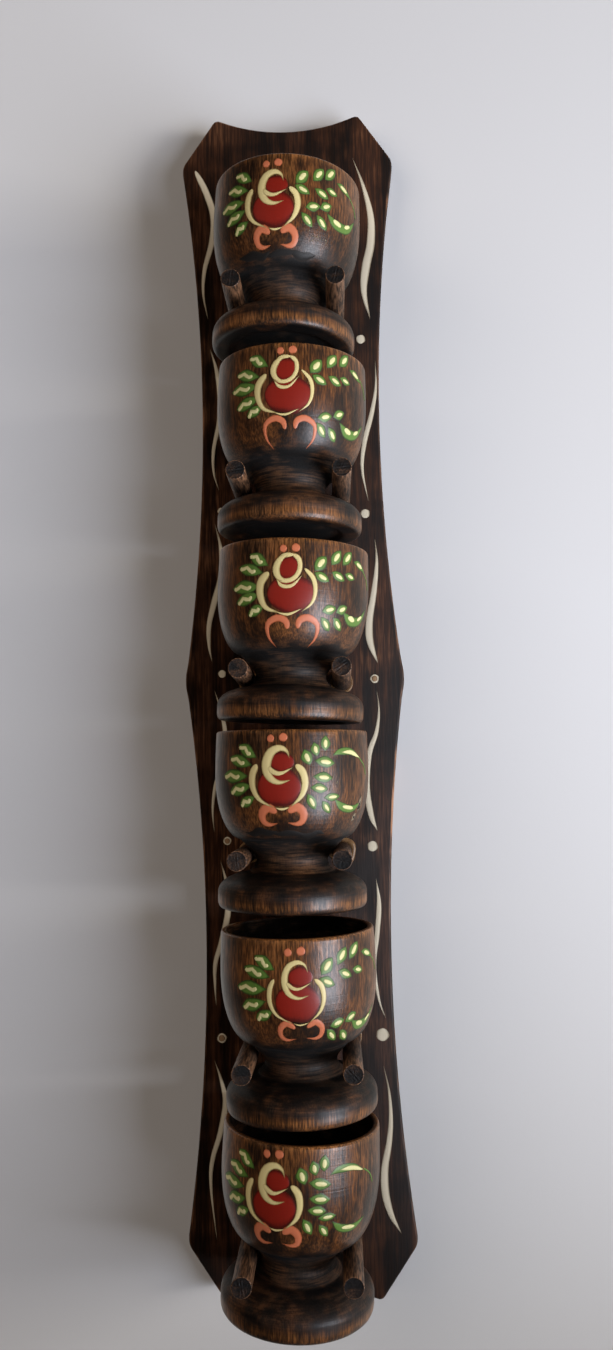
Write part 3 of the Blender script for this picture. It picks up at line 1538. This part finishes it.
FLOWERS = {
    1: Flower(Rose.HOODED, Spray.BRANCH, -7.0, -0.4),
    2: Flower(Rose.RINGED, Spray.BRANCH, 0.0, 0.4, arched=True, droop=6.5),
    3: Flower(Rose.RINGED, Spray.BRANCH, 1.0, -0.3, 1.15, arched=True, droop=5.0),
    4: Flower(Rose.HOODED, Spray.LADDER, -6.5, 0.5, 1.1),
    5: Flower(Rose.HOODED, Spray.BRANCH, 1.5, -0.4, 0.75, droop=8.0),
    6: Flower(Rose.HOODED, Spray.LADDER, -16.5, 0.6),
}


def scars(number: int, draw: random.Random) -> list[Stroke]:
    """The chips and scuffs of one bowl.

    Args:
        number: the cup's number.
        draw: the source of small scatter.

    Returns:
        The marks, in the bowl's flat coordinates.
    """
    made = []
    if number in (1, 4):
        # Where the tool tore the fibres in the crease, the stain went black.
        for start, end in ((-15.0, -1.0), (-4.0, 9.0), (5.0, 16.0)):
            path = tuple(
                (start + (end - start) * i / 4, 23.6 + draw.uniform(-0.8, 0.9)) for i in range(5)
            )
            made.append(Stroke(Paint.CHIP, path, draw.uniform(1.4, 2.6), Touch.LEAF, 0.5))
    if number == 4:
        for path, width in (
            (((30.6, 34.6), (29.9, 31.5), (29.2, 29.4)), 2.4), (((28.6, 29.4), (27.2, 26.6)), 2.0),
            (((16.8, 41.2), (16.2, 38.6)), 0.35), (((18.3, 39.2), (17.8, 38.0)), 0.4),
            (((15.9, 37.8), (15.4, 36.0)), 0.3),
        ):
            made.append(Stroke(Paint.SCUFF, path, width, Touch.LEAF, 0.5))
        for path, width in (
            (((30.2, 32.8), (29.3, 29.8)), 1.0), (((30.8, 31.0), (28.9, 30.4)), 0.8),
            (((28.2, 28.2), (27.6, 27.6)), 1.1),
        ):
            made.append(Stroke(Paint.CHIP, path, width, Touch.LEAF, 0.5, 2))
    if number == 1:
        for _ in range(16):
            u, v = draw.uniform(12, 19), draw.gauss(29.2, 0.9)
            path = ((u, v), (u + draw.uniform(-0.7, 0.7), v + draw.uniform(-0.7, 0.7)))
            made.append(Stroke(Paint.SCUFF, path, draw.uniform(0.25, 0.5), Touch.LEAF, 0.5))
    return made


@dataclass
class BoardTrim:
    """The long cream strokes and dots down both sides of the board's front."""

    # Down the left: the first stroke has a blunt head, and the rest are thin at both ends.
    left: tuple[tuple[Path, float, float], ...] = (
        (((-33.0, 184.0), (-29.3, 176.0), (-26.6, 166.5), (-27.2, 157.0), (-29.8, 147.0), (-30.4, 138.0),
          (-28.8, 128.5)), 2.4, 0.2),
        (((-28.2, 118.0), (-26.0, 110.0), (-24.8, 100.0), (-25.2, 91.0), (-27.2, 81.0), (-27.2, 73.0),
          (-25.4, 66.5)), 1.8, 0.3),
        (((-27.0, 55.0), (-25.0, 46.0), (-25.0, 36.0), (-27.4, 27.0), (-29.3, 19.0), (-29.3, 12.0),
          (-28.3, 6.5)), 2.2, 0.4),
        (((-27.6, -3.0), (-25.6, -10.0), (-24.0, -18.0), (-25.2, -28.5), (-27.6, -36.0), (-28.5, -44.0),
          (-28.0, -51.5)), 1.6, 0.4),
        (((-26.0, -61.0), (-24.0, -69.0), (-23.6, -78.0), (-25.8, -88.0), (-28.0, -95.0),
          (-28.2, -102.0), (-27.8, -109.0)), 2.0, 0.35),
        (((-28.6, -126.5), (-26.3, -133.5), (-25.0, -140.5), (-26.8, -150.0), (-29.6, -159.0),
          (-30.0, -168.0), (-28.2, -184.0)), 1.9, 0.4),
    )
    # Down the right: all are thin at both ends, and most are fullest below the middle.
    right: tuple[tuple[Path, float, float], ...] = (
        (((23.5, 187.0), (27.2, 176.0), (29.6, 165.0), (29.4, 155.0), (27.4, 146.0), (26.6, 137.0),
          (28.6, 127.0)), 3.1, 0.6),
        (((30.0, 112.0), (30.0, 102.0), (28.4, 93.0), (25.8, 83.0), (24.7, 73.0), (26.6, 61.5)), 1.7, 0.5),
        (((28.5, 48.5), (29.0, 40.0), (27.8, 29.5), (26.0, 19.5), (26.1, 12.5), (28.6, 5.0)), 2.6, 0.7),
        (((28.0, -4.0), (28.6, -11.0), (27.6, -18.5), (25.0, -26.0), (24.0, -37.0), (25.2, -46.5),
          (27.2, -51.8)), 2.2, 0.75),
        (((26.4, -67.5), (27.2, -76.0), (26.4, -86.0), (25.2, -96.0), (26.4, -107.0), (28.6, -113.5)),
         1.7, 0.3),
        (((27.5, -128.5), (29.2, -137.0), (29.6, -146.0), (28.8, -153.5), (27.2, -161.5),
          (27.2, -169.0), (29.0, -176.0), (32.2, -182.0)), 2.5, 0.7),
    )
    # Centre and size of each dot.
    dots: tuple[tuple[Pair, float], ...] = (
        ((-24.8, 59.3), 2.4), ((-24.9, 2.3), 2.7), ((-23.6, -54.5), 2.8), ((-26.0, -119.5), 3.2),
        ((25.1, 119.7), 3.2), ((25.4, 57.2), 3.2), ((27.4, -0.3), 3.0), ((25.5, -56.9), 3.5),
        ((27.5, -118.8), 4.2),
    )
    rubbed: tuple[int, ...] = (2, 3, 6)     # the dots whose middles are rubbed through
    blunt: float = 0.3                      # a stroke that swells sooner than this has a blunt head

    def strokes(self) -> list[Stroke]:
        """Every stroke on the board."""
        made = [
            Stroke(
                Paint.BOARD_CREAM, path, width, Touch.COMMA if peak < self.blunt else Touch.LEAF, peak
            )
            for path, width, peak in self.left + self.right
        ]
        for (u, v), size in self.dots:
            ends = ((u, v - size / 2), (u, v + size / 2))
            made.append(Stroke(Paint.BOARD_CREAM, ends, size, Touch.DAB))
        for place in self.rubbed:
            (u, v), size = self.dots[place]
            ends = ((u, v - size / 3), (u, v + size / 3))
            made.append(Stroke(Paint.RUBBED_CREAM, ends, size * 0.66, Touch.DAB, 0.5, 2))
        return made


# ---------------------------------------------------------------- studio


@dataclass
class Studio:
    """A pale wall, soft window light from the right, and the camera in front of the rack."""

    camera: tuple[float, float, float] = (15.0, -356.0, -28.7)
    yaw: float = -1.80
    pitch: float = 4.97
    roll: float = -0.92
    lens: float = 27.04

    def set_camera(self) -> None:
        """Places the camera at arm's length, a little to the right, turned slightly up and left."""
        yaw, pitch, roll = (math.radians(a) for a in (self.yaw, self.pitch, self.roll))
        forward = Vector((
            math.sin(yaw) * math.cos(pitch), math.cos(yaw) * math.cos(pitch), math.sin(pitch)
        ))
        level = Vector((math.cos(yaw), -math.sin(yaw), 0))
        up = level.cross(forward)
        right = level * math.cos(roll) + up * math.sin(roll)
        top = up * math.cos(roll) - level * math.sin(roll)
        data = bpy.data.cameras.new("camera")
        data.lens = self.lens
        data.sensor_width = 36
        data.clip_start = 0.01
        camera = bpy.data.objects.new("camera", data)
        turn = Matrix((right, top, -forward)).transposed().to_4x4()
        camera.matrix_world = Matrix.Translation(Vector(self.camera) * MM) @ turn
        bpy.context.scene.collection.objects.link(camera)
        bpy.context.scene.camera = camera

    @staticmethod
    def hang_paper() -> None:
        """Hangs the pale wall behind the rack. It shows only from the front, and lights nothing."""
        deselect()
        bpy.ops.mesh.primitive_plane_add(size=6, location=(0, 0.0006, 0), rotation=(math.pi / 2, 0, 0))
        wall = settle(bpy.context.active_object, "wall_paper", None)
        for sight in ("diffuse", "glossy", "transmission", "shadow"):
            setattr(wall, f"visible_{sight}", False)
        material, tree = blank("matt_wall_paper")
        place = put(tree, "ShaderNodeTexCoord").outputs["Object"]
        tooth = put(
            tree, "ShaderNodeTexNoise", {"Vector": place, "Scale": 1 / (1.5 * MM), "Detail": 3.0}
        ).outputs["Fac"]
        relief = put(
            tree, "ShaderNodeBump", {"Height": tooth, "Strength": 0.15, "Distance": 0.1 * MM}
        ).outputs[0]
        paper = put(
            tree,
            "ShaderNodeBsdfPrincipled",
            {
                "Base Color": linear("#cfd1d5"),
                "Roughness": 0.9,
                "Specular IOR Level": 0.1,
                "Normal": relief,
            },
        ).outputs[0]
        behind = put(tree, "ShaderNodeNewGeometry").outputs["Backfacing"]
        clear = put(tree, "ShaderNodeBsdfTransparent").outputs[0]
        shader = put(tree, "ShaderNodeMixShader", {0: behind, 1: paper, 2: clear}).outputs[0]
        put(tree, "ShaderNodeOutputMaterial", {"Surface": shader})
        wall.data.materials.append(material)

    @staticmethod
    def add_light(
        name: str, place: Vector, size: Pair, watts: float, colour: str, mirrored: bool = True
    ) -> None:
        """Adds one soft area light that looks at the middle of the rack.

        Args:
            name: the lamp's name.
            place: where it stands, in metres.
            size: width and height of its face, in metres.
            watts: its power.
            colour: its tint.
            mirrored: whether the lacquer shows it.
        """
        data = bpy.data.lights.new(name, "AREA")
        data.shape = "RECTANGLE"
        data.size, data.size_y = size
        data.energy = watts
        data.color = linear(colour)[:3]
        lamp = bpy.data.objects.new(name, data)
        lamp.location = place
        lamp.rotation_euler = (-place).to_track_quat("-Z", "Y").to_euler()
        lamp.visible_glossy = mirrored
        bpy.context.scene.collection.objects.link(lamp)

    @staticmethod
    def hang_flag() -> None:
        """Hangs a black card low before the window, so that the light fades towards the last cups."""
        deselect()
        bpy.ops.mesh.primitive_plane_add(size=1, location=(0.27, -0.25, -0.50))
        card = bpy.context.active_object
        card.rotation_euler = (math.pi / 2, 0, math.radians(48))
        card.scale = (0.6, 0.5, 1)
        settle(card, "flag_card", None)
        card.visible_camera = False
        material, tree = blank("black_card")
        black = put(tree, "ShaderNodeBsdfDiffuse", {"Color": linear("#0a0a0a")}).outputs[0]
        put(tree, "ShaderNodeOutputMaterial", {"Surface": black})
        card.data.materials.append(material)

    @staticmethod
    def surround() -> None:
        """Makes the room: dark towards the viewer, dim at its sides and pale where the paper lies."""
        world = bpy.data.worlds.new("dim_room_over_pale_paper")
        world.use_nodes = True
        tree = world.node_tree
        tree.nodes.clear()
        direction = put(tree, "ShaderNodeTexCoord").outputs["Generated"]
        depth = put(
            tree, "ShaderNodeVectorMath", {0: direction, 1: (0.45, 0.9, 0.0)}, operation="DOT_PRODUCT"
        ).outputs["Value"]
        share = put(tree, "ShaderNodeMapRange", {0: depth, 1: -1.0, 2: 1.0}).outputs[0]
        ramp = put(tree, "ShaderNodeValToRGB", {0: share})
        stops = ((0.0, "#14100d"), (0.3, "#352e28"), (0.5, "#6a6159"), (0.72, "#b9b6b2"))
        elements = ramp.color_ramp.elements
        for i, (place, colour) in enumerate(stops):
            stop = elements[i] if i < 2 else elements.new(place)
            stop.position = place
            stop.color = linear(colour)
        sky = put(
            tree, "ShaderNodeBackground", {"Color": ramp.outputs[0], "Strength": 1.0}
        ).outputs[0]
        put(tree, "ShaderNodeOutputWorld", {"Surface": sky})
        bpy.context.scene.world = world

    def light(self) -> None:
        """Sets the room, a wide window low to the right, a far one level with it, and a weak fill."""
        self.surround()
        self.hang_flag()
        self.add_light("window", Vector((0.80, -0.73, -0.42)), (0.6, 0.8), 17.0, "#eef3ff")
        self.add_light("far_window", Vector((1.0, -0.45, 0.0)), (0.3, 0.3), 7.0, "#fff6ea", False)
        self.add_light("fill", Vector((-0.8, -0.9, 0.3)), (0.9, 0.9), 5.5, "#ffeedd", False)

    def build(self) -> None:
        """Sets up the whole studio."""
        self.set_camera()
        self.hang_paper()
        self.light()


# ---------------------------------------------------------------- the rack


def main() -> None:
    """Builds the studio and every sub-assembly of the rack, in order."""
    logging.basicConfig(level=logging.INFO, format="%(message)s")
    bpy.context.scene.view_settings.view_transform = "Standard"
    Studio().build()

    board = BackBoard()
    board.dress(board.build())
    Painter(BoardGround(board.low.y), "board", "rack").paint(BoardTrim().strokes())
    Hanger().dress()

    for number in STATIONS:
        Pegs(number).dress()
        cup = EggCup(number)
        cup.dress(cup.build())
        flower = FLOWERS[number]
        draw = random.Random(number)
        painter = Painter(BowlGround(cup, flower.facing), f"cup_{number}", cup.body, draw=draw)
        painter.paint(flower.strokes(draw) + scars(number, draw))

    deselect()


if __name__ == "__main__":
    main()
